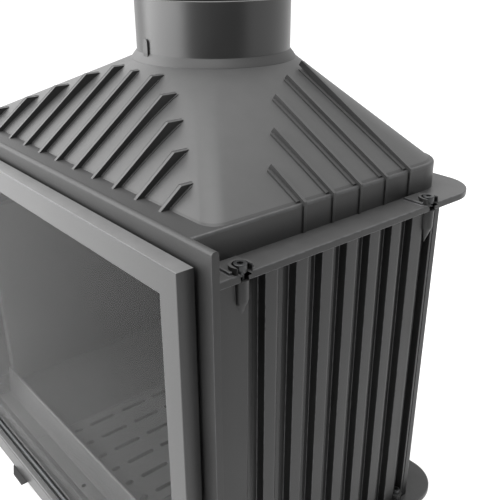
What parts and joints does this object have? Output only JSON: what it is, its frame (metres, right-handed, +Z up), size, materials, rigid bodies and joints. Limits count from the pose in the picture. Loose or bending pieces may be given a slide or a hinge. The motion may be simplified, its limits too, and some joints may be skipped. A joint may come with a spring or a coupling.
{
  "type": "fireplace insert",
  "caption": "Built-in fireplace insert in dark cast iron: large side-hung glass door in a flat front plate, ribbed smoke hood with a round flue collar, and grooved walls",
  "frame": {"origin": "on the floor under the centre of the bounding box", "axes": "+Z up, the door faces -Y, +X to the right of someone facing the door"},
  "size_m": [0.68, 0.4826, 0.736],
  "materials": {
    "front_iron": "satin anthracite heat-resistant paint",
    "door_iron": "smooth satin anthracite heat-resistant paint",
    "hood_iron": "satin anthracite paint on cast iron",
    "body_iron": "satin anthracite paint on cast iron",
    "inner_iron": "plain cast iron",
    "black_screws": "black oxide",
    "bright_steel": "zinc plated",
    "sheet_steel": "dark painted sheet",
    "lining_board": "plain dark lining",
    "glass_rope": "braided glass fibre",
    "ceramic_glass": "clear ceramic glass"
  },
  "bodies": {
    "insert": {"front_plate": "front_iron", "smoke_hood": "hood_iron", "top_plate": "body_iron", "base_plate": "body_iron", "side_wall_right": "body_iron", "side_wall_left": "body_iron", "rear_wall": "body_iron", "corner_screws": "black_screws", "base_screws": "black_screws", "plate_screws": "black_screws", "levelling_bolts": "bright_steel", "lock_nuts": "bright_steel", "sill_strips": "inner_iron", "lining_right": "lining_board", "lining_left": "lining_board", "lining_rear": "lining_board", "lower_baffle": "lining_board", "upper_baffle": "lining_board", "ash_box": "sheet_steel", "ash_pan": "sheet_steel", "pan_bail": "bright_steel", "air_box": "sheet_steel", "door_seal": "glass_rope", "hinge_brackets": "front_iron", "hinge_pins": "bright_steel", "bracket_screws": "black_screws"},
    "door": {"door_frame": "door_iron", "front_tape": "glass_rope", "door_glass": "ceramic_glass", "rear_tape": "glass_rope", "glass_retainer": "sheet_steel", "retainer_screws": "bright_steel"},
    "handle": {"handle_lever": "front_iron", "handle_grip": "bright_steel", "handle_spindle": "bright_steel", "latch_tongue": "bright_steel"},
    "air_control": {"air_shutter": "sheet_steel", "air_lever": "front_iron"},
    "grate": {"grate": "inner_iron"},
    "guard": {"log_guard": "inner_iron"}
  },
  "joints": [
    {"name": "door_hinge", "type": "hinge", "parent": "insert", "child": "door", "pos_m": [-0.33, -0.18405, 0.287], "axis": [0, 0, -1], "range_deg": [0, 110]},
    {"name": "handle_turn", "type": "hinge", "parent": "door", "child": "handle", "pos_m": [0.309, -0.19535, 0.24], "axis": [0, 1, 0], "range_deg": [0, 90]},
    {"name": "air_slide", "type": "slide", "parent": "insert", "child": "air_control", "axis": [1, 0, 0], "range_m": [0, 0.036]},
    {"name": "grate_lift", "type": "slide", "parent": "insert", "child": "grate", "axis": [0, 0, 1], "range_m": [0, 0.06]},
    {"name": "guard_lift", "type": "slide", "parent": "insert", "child": "guard", "axis": [0, 0, 1], "range_m": [0, 0.06]}
  ]
}
